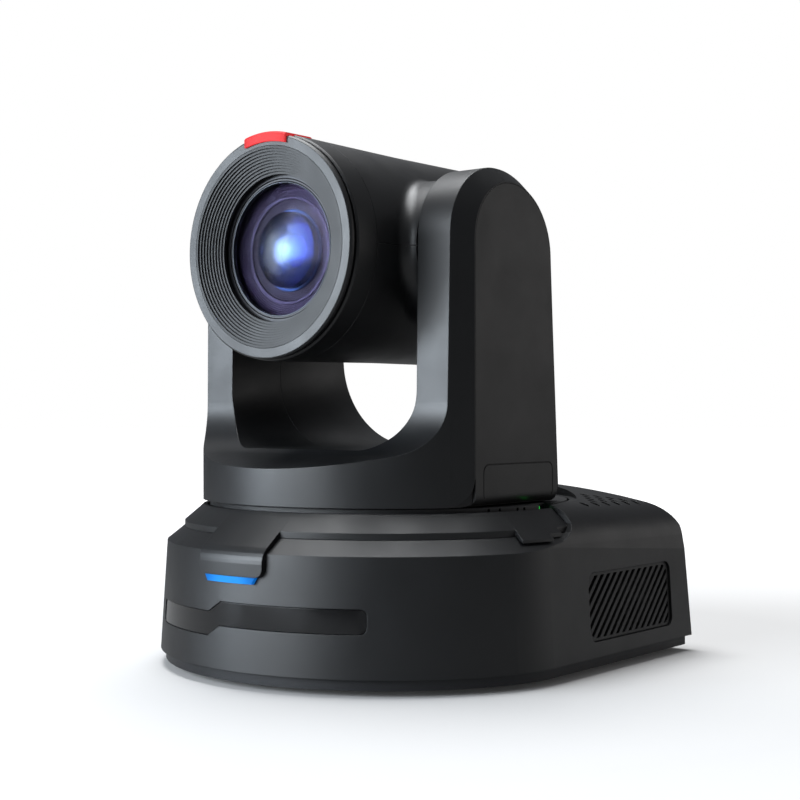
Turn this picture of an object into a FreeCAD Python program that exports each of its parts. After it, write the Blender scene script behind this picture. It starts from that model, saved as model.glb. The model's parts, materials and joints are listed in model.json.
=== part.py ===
import FreeCAD, Part
import math
import os
import re
import Sketcher

# A pan, tilt and zoom camera. Z is up and the lens looks along -Y.
# The origin is on the surface that the camera stands on, on the pan axis.
# All lengths are in millimetres and all angles are in degrees.

SIZES = {
    # Base housing.
    "foot_height": 1.8,
    "shell_bottom": 4.9,
    "base_radius": 72.0,
    "base_wall_top": 38.4,
    "base_draft": 3.4,
    "side_blend_radius": 40.0,
    "side_blend_start": -25.0,
    "rear_half_width": 69.0,
    "rear_face": 73.0,
    "shell_wall": 2.4,
    "deck_radius": 64.9,
    "deck_height": 42.5,
    "hump_front": -17.5,
    "hump_top": 56.0,
    "hump_fall": 0.024,
    "hump_crown_radius": 297.0,
    "hump_round": 13.4,
    "hump_side_step": 4.08,
    "hump_side_taper": 0.0074,
    "hump_well_radius": 57.5,
    "yoke_sweep_radius": 59.7,
    "yoke_sweep_height": 50.5,
    "collar_end": 5.6,
    "crease_height": 38.0,
    "crease_slope": 0.078,
    "crease_lean": 0.15,
    "deck_hole_radius": 46.0,
    # Trim collar around the turntable.
    "collar_radius": 64.6,
    "collar_step_top": 44.4,
    "collar_top_radius": 60.0,
    "collar_cone_top": 48.3,
    "collar_top": 49.4,
    "collar_bore": 57.6,
    "front_tab_half_width": 12.5,
    "front_tab_bottom": 31.8,
    "front_tab_radius": 71.9,
    # Turntable and pan drive.
    "turntable_radius": 56.8,
    "turntable_bottom": 46.6,
    "turntable_top": 48.8,
    "pan_ring_top": 50.6,
    "pan_post_radius": 12.0,
    "pan_post_bore": 8.5,
    "pan_bearing_radius": 17.0,
    "pan_bearing_bottom": 38.0,
    "pan_bearing_height": 7.0,
    "pan_teeth": 96.0,
    "pan_pinion_teeth": 16.0,
    "gear_module": 0.8,
    "pan_gear_bottom": 33.0,
    "pan_gear_height": 4.0,
    "running_clearance": 0.05,
    # Yoke.
    "yoke_radius": 58.9,
    "yoke_bottom": 50.9,
    "yoke_half_width": 53.0,
    "yoke_band_x": 49.2,
    "yoke_band_y": 25.7,
    "yoke_gap_half": 37.6,
    "yoke_front": 32.4,
    "yoke_rear_low": 23.4,
    "yoke_rear_high": 19.5,
    "yoke_top": 150.0,
    "yoke_floor": 67.0,
    "yoke_wall": 2.2,
    "tunnel_front_round": 12.0,
    "tunnel_rear_round": 28.6,
    # Head.
    "tilt_axis_y": -10.7,
    "tilt_axis_z": 126.3,
    "barrel_radius": 33.2,
    "barrel_rear_radius": 32.7,
    "barrel_rear": -36.0,
    "head_wall": 2.0,
    "ring_face": 56.3,
    "ring_radius": 31.9,
    "baffle_radius": 29.5,
    "baffle_opening": 21.7,
    "baffle_depth": 4.6,
    "hub_radius": 21.7,
    "hub_face": 37.0,
    "shaft_radius": 6.0,
    "tilt_teeth": 36.0,
    "tilt_pinion_teeth": 12.0,
    "tilt_gear_width": 2.6,
}

doc = FreeCAD.newDocument("PtzCamera")
sheet = doc.addObject("Spreadsheet::Sheet", "Dims")
for row, (alias, amount) in enumerate(SIZES.items(), start=1):
    sheet.set("A%d" % row, alias)
    sheet.set("B%d" % row, str(amount))
    sheet.setAlias("B%d" % row, alias)
doc.recompute()

nodes = []


def value(text):
    """Evaluate a formula written with the sheet's aliases."""
    if isinstance(text, (int, float)):
        return float(text)
    return float(sheet.evalExpression(formula(text)))


def formula(text):
    """Write a formula of aliases the way a property expression needs it."""
    def cell(word):
        return "Dims." + word.group() if word.group() in SIZES else word.group()

    return re.sub(r"[a-z_]+", cell, str(text))


def bind(thing, name, text):
    thing.setExpression(name, formula(text))


def place(thing, at=(0, 0, 0), turn=None):
    """Put an object at a point given by three formulas, turned by (axis, angle)."""
    if turn is not None:
        axis, angle = turn
        thing.Placement = FreeCAD.Placement(FreeCAD.Vector(), FreeCAD.Rotation(FreeCAD.Vector(*axis), angle))
    for letter, text in zip("xyz", at):
        if text != 0:
            bind(thing, "Placement.Base." + letter, text)
    return thing


ALONG_X = ((0, 1, 0), 90)
ALONG_Y = ((1, 0, 0), -90)
LENS_AXIS = ((1, 0, 0), 90)


def cylinder(name, radius, height, at=(0, 0, 0), turn=None):
    solid = doc.addObject("Part::Cylinder", name)
    bind(solid, "Radius", radius)
    bind(solid, "Height", height)
    return place(solid, at, turn)


def box(name, size, at, turn=None):
    """A box with its middle at a point in X and Y, standing on that point's Z."""
    solid = doc.addObject("Part::Box", name)
    for side, text in zip(("Length", "Width", "Height"), size):
        bind(solid, side, text)
    corner = ["(%s) - (%s) / 2" % (at[0], size[0]), "(%s) - (%s) / 2" % (at[1], size[1]), at[2]]
    return place(solid, corner, turn)


def cut(name, base, *tools):
    result = doc.addObject("Part::Cut", name)
    result.Base = base
    result.Tool = tools[0] if len(tools) == 1 else fuse(name + "_tools", *tools)
    return result


def fuse(name, *parts):
    result = doc.addObject("Part::MultiFuse", name)
    result.Shapes = list(parts)
    return result


def common(name, *parts):
    result = doc.addObject("Part::MultiCommon", name)
    result.Shapes = list(parts)
    return result


def group(name, parts):
    result = doc.addObject("Part::Compound", name)
    result.Links = list(parts)
    return result


def shaped(name, shape):
    """A piece whose form neither sketches nor primitives can give."""
    result = doc.addObject("Part::Feature", name)
    result.Shape = shape
    return result


def node(piece):
    """Mark an object as one of the sub-parts that are written out."""
    piece.Label = piece.Name
    nodes.append(piece)
    return piece


def plane_of(body, role):
    return next(feature for feature in body.Origin.OriginFeatures if feature.Role == role)


def sketch_on(body, name, role, offset="0"):
    sketch = body.newObject("Sketcher::SketchObject", name)
    sketch.AttachmentSupport = (plane_of(body, role), "")
    sketch.MapMode = "FlatFace"
    if offset != "0":
        bind(sketch, "AttachmentOffset.Base.z", offset)
    return sketch


def pin_point(sketch, index, end, across, up):
    """Hold a sketch point at two formulas, measured from the sketch's origin."""
    for kind, axis, text in (("DistanceX", -2, across), ("DistanceY", -1, up)):
        if str(text) == "0":
            sketch.addConstraint(Sketcher.Constraint("PointOnObject", index, end, axis))
        else:
            number = sketch.addConstraint(Sketcher.Constraint(kind, -1, 1, index, end, value(text)))
            bind(sketch, "Constraints[%d]" % number, text)


def outline(sketch, corners):
    """A closed outline of straight lines whose corners are pairs of formulas."""
    points = [FreeCAD.Vector(value(across), value(up), 0) for across, up in corners]
    count = len(points)
    for index in range(count):
        sketch.addGeometry(Part.LineSegment(points[index], points[(index + 1) % count]))
    for index in range(count):
        sketch.addConstraint(Sketcher.Constraint("Coincident", index, 2, (index + 1) % count, 1))
    for index, (across, up) in enumerate(corners):
        pin_point(sketch, index, 1, across, up)


def circle(sketch, radius, across="0", up="0"):
    centre = FreeCAD.Vector(value(across), value(up), 0)
    index = sketch.addGeometry(Part.Circle(centre, FreeCAD.Vector(0, 0, 1), value(radius)))
    pin_point(sketch, index, 3, across, up)
    number = sketch.addConstraint(Sketcher.Constraint("Radius", index, value(radius)))
    bind(sketch, "Constraints[%d]" % number, radius)


def turned(name, corners, at=(0, 0, 0), turn=None):
    """A piece turned about its own Z axis from (radius, height) corners."""
    body = doc.addObject("PartDesign::Body", name)
    sketch = sketch_on(body, name + "_profile", "XZ_Plane")
    outline(sketch, corners)
    feature = body.newObject("PartDesign::Revolution", name + "_turn")
    feature.Profile = sketch
    feature.ReferenceAxis = (sketch, ["V_Axis"])
    feature.Angle = 360
    return place(body, at, turn)


def tube(name, outer, inner, bottom, top, at=(0, 0, 0), turn=None):
    corners = [(inner, bottom), (outer, bottom), (outer, top), (inner, top)]
    return turned(name, corners, at, turn)


def gear(name, teeth, width, bore, at=(0, 0, 0), turn=None, phase=0.0):
    """A spur gear: a disc at the root circle with one straight-sided tooth repeated round it."""
    body = doc.addObject("PartDesign::Body", name)
    disc = sketch_on(body, name + "_disc", "XY_Plane")
    root = "gear_module * (%s - 2.5) / 2" % teeth
    circle(disc, root)
    circle(disc, bore)
    blank = body.newObject("PartDesign::Pad", name + "_blank")
    blank.Profile = disc
    bind(blank, "Length", width)
    tooth = sketch_on(body, name + "_tooth", "XY_Plane")
    tip = "gear_module * (%s + 1.7) / 2" % teeth
    foot = "gear_module * (%s - 2.8) / 2" % teeth
    outline(tooth, [
        (foot, "-gear_module * 0.86"), (tip, "-gear_module * 0.33"),
        (tip, "gear_module * 0.33"), (foot, "gear_module * 0.86"),
    ])
    doc.recompute()
    rib = body.newObject("PartDesign::Pad", name + "_rib")
    rib.Profile = tooth
    bind(rib, "Length", width)
    doc.recompute()
    ring = body.newObject("PartDesign::PolarPattern", name + "_ring")
    ring.Originals = [rib]
    ring.Axis = (disc, ["N_Axis"])
    ring.Angle = 360
    bind(ring, "Occurrences", teeth)
    body.Tip = ring
    if phase:
        axis = FreeCAD.Rotation(FreeCAD.Vector(0, 0, 1), phase)
        base = FreeCAD.Rotation(FreeCAD.Vector(*turn[0]), turn[1]) if turn else FreeCAD.Rotation()
        place(body, at)
        body.Placement.Rotation = base.multiply(axis)
        return body
    return place(body, at, turn)


# ---------------------------------------------------------------- base housing

def polygon_face(points):
    return Part.Face(Part.makePolygon([FreeCAD.Vector(*point) for point in points + points[:1]]))


def ring_body(corners):
    """A solid turned about the pan axis from (radius, height) corners."""
    face = polygon_face([(radius, 0, height) for radius, height in corners])
    return face.revolve(FreeCAD.Vector(), FreeCAD.Vector(0, 0, 1), 360)


def on_arc(centre, radius, degrees):
    angle = math.radians(degrees)
    return (centre[0] + radius * math.cos(angle), centre[1] + radius * math.sin(angle))


def front_prism(points, near, far):
    """A prism along Y whose outline is drawn in X and Z."""
    face = polygon_face([(x, near, z) for x, z in points])
    return face.extrude(FreeCAD.Vector(0, far - near, 0))


def side_prism(points, near, far):
    """A prism along X whose outline is drawn in Y and Z."""
    face = polygon_face([(near, y, z) for y, z in points])
    return face.extrude(FreeCAD.Vector(far - near, 0, 0))


def rounded_plate(width, height, radius, thickness):
    """A rounded rectangle in the XY plane, centred, standing on Z zero."""
    block = Part.makeBox(width, height, thickness, FreeCAD.Vector(-width / 2, -height / 2, 0))
    upright = [edge for edge in block.Edges if abs(edge.tangentAt(edge.FirstParameter).z) > 0.99]
    return block.makeFillet(radius, upright)


def base_plan(inset, height):
    """The base seen from above: a round front that blends into straight, tapering sides."""
    radius = value("base_radius") - inset
    blend = value("side_blend_radius") - inset
    start = math.asin(-value("side_blend_start") / value("base_radius"))
    centre_x = (value("base_radius") - value("side_blend_radius")) * math.cos(start)
    centre_y = -(value("base_radius") - value("side_blend_radius")) * math.sin(start)
    rear_y = value("rear_face") - inset
    lean = math.atan2(centre_x + value("side_blend_radius") - value("rear_half_width"), rear_y - centre_y)
    side = (centre_x + blend * math.cos(lean), centre_y + blend * math.sin(lean))
    corner = (side[0] - math.tan(lean) * (rear_y - side[1]), rear_y)
    middle = (lean - start) / 2

    def spot(x, y):
        return FreeCAD.Vector(x, y, height)

    half = [
        Part.Arc(spot(radius * math.cos(start), -radius * math.sin(start)),
                 spot(centre_x + blend * math.cos(middle), centre_y + blend * math.sin(middle)),
                 spot(*side)),
        Part.LineSegment(spot(*side), spot(*corner)),
    ]
    other = [
        Part.LineSegment(spot(-corner[0], rear_y), spot(-side[0], side[1])),
        Part.Arc(spot(-side[0], side[1]),
                 spot(-centre_x - blend * math.cos(middle), centre_y + blend * math.sin(middle)),
                 spot(-radius * math.cos(start), -radius * math.sin(start))),
    ]
    rear = Part.LineSegment(spot(*corner), spot(-corner[0], rear_y))
    front = Part.Arc(spot(-radius * math.cos(start), -radius * math.sin(start)), spot(0, -radius),
                     spot(radius * math.cos(start), -radius * math.sin(start)))
    return Part.Wire([curve.toShape() for curve in half + [rear] + other + [front]])


def wall_solid(inset, bottom, top):
    """The drafted walls of the base between two heights."""
    draft = math.tan(math.radians(value("base_draft")))
    low = base_plan(inset + draft * (bottom - value("shell_bottom")), bottom)
    high = base_plan(inset + draft * (top - value("shell_bottom")), top)
    walls = Part.makeLoft([low, high], True, True)
    rear = value("rear_face") - inset
    upright = Part.makeBox(200, 100 + rear, top, FreeCAD.Vector(-100, -100, 0))
    return walls.common(upright)


def hump_section(y, inset):
    """Leaning sides and a crowned top, drawn across the tail at one depth."""
    crease = value("crease_height") - value("crease_slope") * y - inset
    half = value("base_radius") - value("hump_side_step") - value("hump_side_taper") * y - inset
    crown = value("hump_crown_radius")

    def top(x):
        return value("hump_top") - value("hump_fall") * y - inset - x * x / (2 * crown)

    lean = value("crease_lean")
    shoulder = half - lean * (top(half) - crease)
    low = value("shell_bottom") + inset
    foot = half + lean * (crease - low)
    left = [FreeCAD.Vector(-foot, y, low), FreeCAD.Vector(-shoulder, y, top(shoulder))]
    right = [FreeCAD.Vector(-point.x, y, point.z) for point in reversed(left)]
    crest = Part.Arc(left[1], FreeCAD.Vector(0, y, top(0)), right[0])
    lines = [Part.LineSegment(left[0], left[1]), crest, Part.LineSegment(right[0], right[1]),
             Part.LineSegment(right[1], left[0])]
    return Part.Wire([line.toShape() for line in lines])


def hump_solid(inset, front):
    """The raised tail behind the turntable, rounded over its sides and its rear."""
    rear = value("rear_face") - inset
    block = Part.makeLoft([hump_section(front, inset), hump_section(rear, inset)], True, True)
    radius = value("hump_round") - inset

    def top_edge(edge):
        middle = edge.valueAt((edge.FirstParameter + edge.LastParameter) / 2)
        flat = abs(edge.Vertexes[0].Z - edge.Vertexes[-1].Z) < 5
        high = middle.z > value("crease_height") + 5
        return high and flat and middle.y > front + 1

    edges = [edge for edge in block.Edges if top_edge(edge)]
    return block.makeFillet(radius, edges)


HUMP_EDGE = [(-17.5, 38.2), (-9.0, 39.3), (-1.0, 40.8), (3.5, 42.8), (6.0, 45.2), (6.6, 48.0), (6.6, 62.0)]


def hump_trim(inset):
    """The curved line along which the tail rises out of the front's bevelled deck."""
    low = value("shell_bottom")
    points = [(y + inset, z) for y, z in HUMP_EDGE]
    points += [(90.0, HUMP_EDGE[-1][1]), (90.0, low), (HUMP_EDGE[0][0] + inset, low)]
    return side_prism(points, -90, 90)


def turning_space(inset, deck):
    """The room that the turntable, and above it the yoke, needs in order to turn."""
    well = Part.makeCylinder(value("hump_well_radius") + inset, 60, FreeCAD.Vector(0, 0, deck))
    low = value("yoke_sweep_height") - inset
    return well.fuse(Part.makeCylinder(value("yoke_sweep_radius") + inset, 60, FreeCAD.Vector(0, 0, low)))


def base_form(inset):
    """The base's outer form, drawn in by an inset on every side."""
    bottom = value("shell_bottom")
    top_edge = value("base_wall_top") - inset * 0.6
    slope = (value("deck_height") - value("base_wall_top")) / (
        value("base_radius") - 2.0 - value("deck_radius"))
    rim = value("base_radius") - 2.0 - inset
    far = rim + 14
    deck = value("deck_height") - inset
    front = ring_body([(0, bottom), (far, bottom), (far, top_edge - slope * 14),
                       (rim - (deck - top_edge) / slope, deck), (0, deck)])
    front = front.cut(hump_trim(inset))
    hump = hump_solid(inset, value("hump_front")).common(hump_trim(inset)).cut(turning_space(inset, deck))
    return wall_solid(inset, bottom, 70).common(front.fuse(hump))


STRIP_LOW_RIGHT = 17.3
STRIP_LOW_LEFT = 14.2
STRIP_HEIGHT = 6.7
STRIP_STEP_RIGHT = -4.0
STRIP_STEP_LEFT = -9.0
STRIP_END_ANGLE = 32.8
STRIP_CORNER = 1.8


def strip_region(grow):
    """The space of the dark front strip: two bands at different heights with a slanted join."""
    height = STRIP_HEIGHT + 2 * grow
    pieces = []
    for side, low, join in ((1, STRIP_LOW_RIGHT, STRIP_STEP_RIGHT), (-1, STRIP_LOW_LEFT, STRIP_STEP_LEFT)):
        sweep = Part.makeCylinder(90, height, FreeCAD.Vector(0, 0, low - grow), FreeCAD.Vector(0, 0, 1),
                                  STRIP_END_ANGLE + 20)
        sweep.rotate(FreeCAD.Vector(), FreeCAD.Vector(0, 0, 1), -110 if side > 0 else -90 - STRIP_END_ANGLE)
        end = rounded_plate(4.4 + 2 * grow, height, STRIP_CORNER + grow, 90)
        end.rotate(FreeCAD.Vector(), FreeCAD.Vector(1, 0, 0), 90)
        end.rotate(FreeCAD.Vector(), FreeCAD.Vector(0, 0, 1), side * STRIP_END_ANGLE)
        end.translate(FreeCAD.Vector(0, 0, low + STRIP_HEIGHT / 2))
        band = sweep.fuse(end)
        start = join - grow if side > 0 else -120
        keep = Part.makeBox(120, 120, 60, FreeCAD.Vector(start if side > 0 else join + grow - 120, -120, 0))
        pieces.append(band.common(keep))
    slant = front_prism([
        (STRIP_STEP_LEFT, STRIP_LOW_LEFT - grow), (STRIP_STEP_RIGHT, STRIP_LOW_RIGHT - grow),
        (STRIP_STEP_RIGHT, STRIP_LOW_RIGHT + STRIP_HEIGHT + grow),
        (STRIP_STEP_LEFT, STRIP_LOW_LEFT + STRIP_HEIGHT + grow),
    ], -90, -20)
    outside = Part.makeCylinder(60, 60)
    return pieces[0].fuse(pieces[1]).fuse(slant).cut(outside)


GRILLE_FRONT = 10.3
GRILLE_REAR = 60.3
GRILLE_LOW = 9.7
GRILLE_HIGH = 30.0
GRILLE_FRAME = 0.9
GRILLE_SLOT = 1.9
GRILLE_PITCH = 3.77
GRILLE_LEAN = 43.6


def grille_region(side, grow):
    """The rounded window of a side grille, running out along X."""
    width = GRILLE_REAR - GRILLE_FRONT + 2 * grow
    height = GRILLE_HIGH - GRILLE_LOW + 2 * grow
    block = rounded_plate(width, height, 3.0, 30)
    block.rotate(FreeCAD.Vector(), FreeCAD.Vector(0, 1, 0), 90)
    block.rotate(FreeCAD.Vector(), FreeCAD.Vector(1, 0, 0), 90)
    block.translate(FreeCAD.Vector(55, (GRILLE_FRONT + GRILLE_REAR) / 2, (GRILLE_LOW + GRILLE_HIGH) / 2))
    return block if side > 0 else block.mirror(FreeCAD.Vector(), FreeCAD.Vector(1, 0, 0))


HOUSING_SCREWS = [(side * x, y) for x, y in ((56.0, 56.0), (62.0, 4.0), (45.0, -46.0)) for side in (1, -1)]
REAR_PANEL_HALF = 60.0
REAR_PANEL_LOW = 8.0
REAR_PANEL_HIGH = 31.0

VENT_PITCH_ACROSS = 5.8
VENT_PITCH_ALONG = 3.1
VENT_LENGTH = 3.9
VENT_WIDTH = 2.1
VENT_FRONT_Y = 6.0
VENT_ROWS = 17
VENT_OUTER_X = 60.0


def vent_here(x, y):
    """Say whether a slot belongs at a place: between the well, the shoulder and a slanted rear limit."""
    near = math.hypot(abs(x) - VENT_LENGTH / 2, y - VENT_WIDTH / 2)
    return near > value("yoke_sweep_radius") and abs(x) < VENT_OUTER_X and y < 11.0 + 0.77 * abs(x)


def vent_slots():
    """Staggered six-sided slots through the top of the tail, in one field on each side of the yoke."""
    slots = []
    half = VENT_LENGTH / 2
    wide = VENT_WIDTH / 2
    for row in range(VENT_ROWS):
        y = VENT_FRONT_Y + row * VENT_PITCH_ALONG
        shift = VENT_PITCH_ACROSS / 2 if row % 2 else 0.0
        for column in range(-11, 12):
            x = shift + column * VENT_PITCH_ACROSS
            if not vent_here(x, y):
                continue
            points = [(x - half, y), (x - half + wide, y - wide), (x + half - wide, y - wide),
                      (x + half, y), (x + half - wide, y + wide), (x - half + wide, y + wide)]
            face = polygon_face([(px, py, 41.0) for px, py in points])
            slots.append(face.extrude(FreeCAD.Vector(0, 0, 30)))
    return slots


def base_shell():
    """The moulded housing: drum, tail, window openings, vents and rear opening."""
    wall = value("shell_wall")
    shell = base_form(0.0).cut(base_form(wall))
    floor_opening = wall_solid(wall - 0.4, 4.0, value("shell_bottom") + wall + 0.6)
    shell = shell.cut(floor_opening)
    shell = shell.cut(Part.makeCylinder(value("deck_hole_radius"), 20, FreeCAD.Vector(0, 0, 35)))
    shell = shell.cut(strip_region(0.15).cut(wall_solid(1.7, 4, 60)))
    for side in (1, -1):
        shell = shell.cut(grille_region(side, 0.15))
    opening = Part.makeBox(2 * REAR_PANEL_HALF, 20, REAR_PANEL_HIGH - REAR_PANEL_LOW,
                           FreeCAD.Vector(-REAR_PANEL_HALF, 60, REAR_PANEL_LOW))
    shell = shell.cut(opening)
    inside = base_form(1.0)
    for x, y in HOUSING_SCREWS:
        boss = Part.makeCylinder(3.4, 50, FreeCAD.Vector(x, y, value("shell_bottom")))
        hole = Part.makeCylinder(1.3, 12, FreeCAD.Vector(x, y, value("shell_bottom") - 1))
        shell = shell.fuse(boss.common(inside)).cut(hole)
    return shell.cut(Part.makeCompound(vent_slots()))


node(shaped("base_shell", base_shell()))


def strip_piece():
    """The glossy infrared window strip set into the front wall."""
    layer = wall_solid(0.25, 5, 40).cut(wall_solid(1.6, 5, 40))
    return layer.common(strip_region(0.0))


node(shaped("infrared_window", strip_piece()))


def grille_piece(side):
    """A slatted grille: a thin plate of leaning slots set back in its window."""
    plate_solid = wall_solid(0.7, 5, 40).cut(wall_solid(2.2, 5, 40)).common(grille_region(side, 0.0))
    low = GRILLE_LOW + GRILLE_FRAME
    high = GRILLE_HIGH - GRILLE_FRAME
    reach = (high - low) / math.tan(math.radians(GRILLE_LEAN))
    slots = []
    for index in range(-5, 14):
        start = GRILLE_FRONT + 0.3 + index * GRILLE_PITCH
        points = [(start, low), (start + GRILLE_SLOT, low),
                  (start + GRILLE_SLOT + reach, high), (start + reach, high)]
        slots.append(side_prism(points, 50 * side, 85 * side))
    inner = grille_region(side, -GRILLE_FRAME)
    return plate_solid.cut(Part.makeCompound(slots).common(inner))


node(shaped("side_grille_left", grille_piece(-1)))
node(shaped("side_grille_right", grille_piece(1)))


def collar_shape():
    """The trim ring round the turntable, with a front tab and two short side tabs."""
    radius = value("collar_radius")
    deck = value("deck_height") + 0.05
    cone = (value("collar_top_radius"), value("collar_cone_top"))
    step = (radius, value("collar_step_top"))
    inner = value("collar_bore")
    ring = ring_body([(inner, deck), (radius, deck), step, cone, (cone[0] - 1.2, value("collar_top")),
                      (inner, value("collar_top"))])
    tab_radius = value("front_tab_radius")
    draft = math.tan(math.radians(value("base_draft")))

    def wall_radius(z):
        return value("base_radius") - draft * (z - value("shell_bottom")) + 0.12

    low = value("front_tab_bottom")
    wall_top = value("base_wall_top")
    bend = [on_arc((tab_radius - 6.0, 35.6), 6.0, degrees) for degrees in (50, 40, 30, 20, 10, 0)]
    tab = ring_body([
        (cone[0], deck + 0.1), cone, *bend, (tab_radius, low),
        (wall_radius(low), low), (wall_radius(wall_top), wall_top + 0.1),
        (value("deck_radius") + 0.1, value("deck_height") + 0.12),
    ])
    half = value("front_tab_half_width")
    mask = rounded_plate(2 * half, 40, 2.5, 40)
    mask.rotate(FreeCAD.Vector(), FreeCAD.Vector(1, 0, 0), 90)
    mask.translate(FreeCAD.Vector(0, -45, low + 20))
    ring = ring.fuse(tab.common(mask))
    lug = ring_body([(cone[0], deck + 0.1), cone, (67.9, 41.7), (67.9, 40.9), (66.2, 41.75),
                     (value("deck_radius") + 0.1, value("deck_height") + 0.12)])
    filler = ring_body([(cone[0], deck + 0.1), cone, (66.3, 42.95), (66.3, 41.7),
                        (value("deck_radius") + 0.1, value("deck_height") + 0.12)])
    for solid, first, span in ((lug, -16.5, 10.5), (filler, -6.5, 5.5)):
        for side in (1, -1):
            start = first if side > 0 else 180 - first - span
            wedge = Part.makeCylinder(90, 60, FreeCAD.Vector(), FreeCAD.Vector(0, 0, 1), span)
            wedge.rotate(FreeCAD.Vector(), FreeCAD.Vector(0, 0, 1), start)
            ring = ring.fuse(solid.common(wedge))
    front = Part.makeBox(200, 100 + value("collar_end"), 90, FreeCAD.Vector(-100, -100, 0))
    return ring.common(front).cut(hump_trim(-0.4)).removeSplitter()


node(shaped("collar", collar_shape()))


def status_bar():
    """The light bar that shines out under the front tab."""
    low = value("front_tab_bottom")
    tab_radius = value("front_tab_radius")
    draft = math.tan(math.radians(value("base_draft")))
    inner = value("base_radius") - draft * (low - 2 - value("shell_bottom")) + 0.1
    ring = ring_body([(inner, low - 1.95), (tab_radius - 0.2, low - 1.95), (tab_radius - 0.2, low - 0.1),
                      (inner, low - 0.1)])
    return ring.common(front_prism([(-8.8, low - 2), (8.8, low - 2), (10.0, low), (-10.0, low)], -90, -40))


node(shaped("status_light", status_bar()))


# ---------------------------------------------------------------- base plate and mounts

PLATE_BOLT_SPACING = 70.0
TRIPOD_Y = 30.0
FEET = [(side * x, y) for x, y in ((46.0, 62.0), (28.0, -44.0)) for side in (1, -1)]
BOARD_POSTS = [(side * 46.0, y) for y in (22.0, 45.0) for side in (1, -1)]


def base_plate_shape():
    """The metal floor of the base with its tripod thread, bracket threads and board posts."""
    low = value("foot_height")
    high = value("shell_bottom") - 0.2
    slab = Part.Face(base_plan(1.6, low)).extrude(FreeCAD.Vector(0, 0, high - low))
    tripod = Part.makeCylinder(7.0, 9.0, FreeCAD.Vector(0, TRIPOD_Y, low))
    slab = slab.fuse(tripod).cut(Part.makeCylinder(2.6, 8.0, FreeCAD.Vector(0, TRIPOD_Y, low)))
    half = PLATE_BOLT_SPACING / 2
    for x, y in [(half, half), (-half, half), (half, -half), (-half, -half)]:
        slab = slab.fuse(Part.makeCylinder(4.5, 7.0, FreeCAD.Vector(x, y, low)))
        slab = slab.cut(Part.makeCylinder(1.65, 6.0, FreeCAD.Vector(x, y, low)))
    for x, y in BOARD_POSTS:
        slab = slab.fuse(Part.makeCylinder(2.6, 11.95 - low, FreeCAD.Vector(x, y, low)))
    for x, y in HOUSING_SCREWS:
        slab = slab.cut(Part.makeCylinder(1.6, 6.0, FreeCAD.Vector(x, y, low - 1)))
        slab = slab.cut(Part.makeCylinder(3.1, 2.6, FreeCAD.Vector(x, y, low - 1)))
    return slab


node(shaped("base_plate", base_plate_shape()))

feet = []
for number, (x, y) in enumerate(FEET, start=1):
    feet.append(tube("foot_%d" % number, "6.5", "1.2", "0", "foot_height", at=(x, y, 0)))
node(group("rubber_feet", feet))


def screw(name, at, head_radius=2.9, shank=1.2, length=7.0, turn=None):
    """A pan-head screw standing on the underside of its head, pointing up its own Z."""
    corners = [("0", 0), (head_radius, 0), (head_radius, 1.3), (shank, 1.3), (shank, length), ("0", length)]
    return turned(name, corners, at, turn)


housing_screws = []
for number, (x, y) in enumerate(HOUSING_SCREWS, start=1):
    housing_screws.append(screw("housing_screw_%d" % number, (x, y, "foot_height + 0.2")))
node(group("base_screws", housing_screws))

# ---------------------------------------------------------------- rear panel and sockets

PANEL_FACE = 63.6
SOCKET_Z = 19.5
SOCKETS = {
    "power_inlet": (46.0, 9.0, 11.0),
    "serial_socket": (31.0, 13.0, 13.0),
    "network_socket": (14.0, 16.0, 13.6),
    "usb_socket": (-5.0, 12.2, 11.0),
    "hdmi_socket": (-22.0, 16.0, 7.0),
    "sdi_connector": (-42.0, 11.0, 11.0),
}

tray = box("panel_tray", (123, 6.8, 25.2), (0, PANEL_FACE + 1.6, 7.2))
tray_inside = box("panel_tray_inside", (119.8, 8, 22.0), (0, PANEL_FACE + 4.0, 8.9))
openings = []
for name, (x, width, height) in SOCKETS.items():
    corner = (x, PANEL_FACE, SOCKET_Z - height / 2 - 0.15)
    openings.append(box(name + "_opening", (width + 0.3, 6, height + 0.3), corner))
node(cut("rear_panel", tray, tray_inside, *openings))


def rectangular_socket(name, cavity_width, cavity_height, cavity_depth):
    """A socket body with a rectangular mouth that faces the rear."""
    x, width, height = SOCKETS[name]
    body = box(name + "_body", (width, 14, height), (x, 59.5, SOCKET_Z - height / 2))
    mouth = box(name + "_mouth", (cavity_width, cavity_depth, cavity_height),
                (x, 66.6 - cavity_depth / 2, SOCKET_Z - cavity_height / 2))
    return node(cut(name, body, mouth))


def round_socket(name, radius, depth, nose_radius, nose_end):
    """A socket body with a round mouth; its nose may stand out of the panel."""
    x, width, height = SOCKETS[name]
    body = box(name + "_body", (width, 12, height), (x, 58.5, SOCKET_Z - height / 2))
    nose = cylinder(name + "_nose", nose_radius, nose_end - 60, (x, 60, SOCKET_Z), ALONG_Y)
    mouth = cylinder(name + "_mouth", radius, depth, (x, nose_end - depth + 0.001, SOCKET_Z), ALONG_Y)
    return node(cut(name, fuse(name + "_outer", body, nose), mouth))


rectangular_socket("network_socket", 11.8, 8.4, 12.0)
rectangular_socket("usb_socket", 8.6, 7.9, 10.0)
rectangular_socket("hdmi_socket", 14.2, 4.7, 9.0)
round_socket("power_inlet", 3.2, 9.0, 4.3, 66.0)
round_socket("serial_socket", 4.6, 7.0, 6.2, 66.0)
round_socket("sdi_connector", 3.6, 9.0, 4.85, 72.6)

# ---------------------------------------------------------------- boards inside the base

board = box("main_board_blank", (100, 31, 1.6), (0, 33.5, 12))
board_holes = []
for number, (x, y) in enumerate(BOARD_POSTS, start=1):
    board_holes.append(cylinder("main_board_hole_%d" % number, 1.5, 4, (x, y, 11)))
node(cut("main_board", board, *board_holes))

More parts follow.
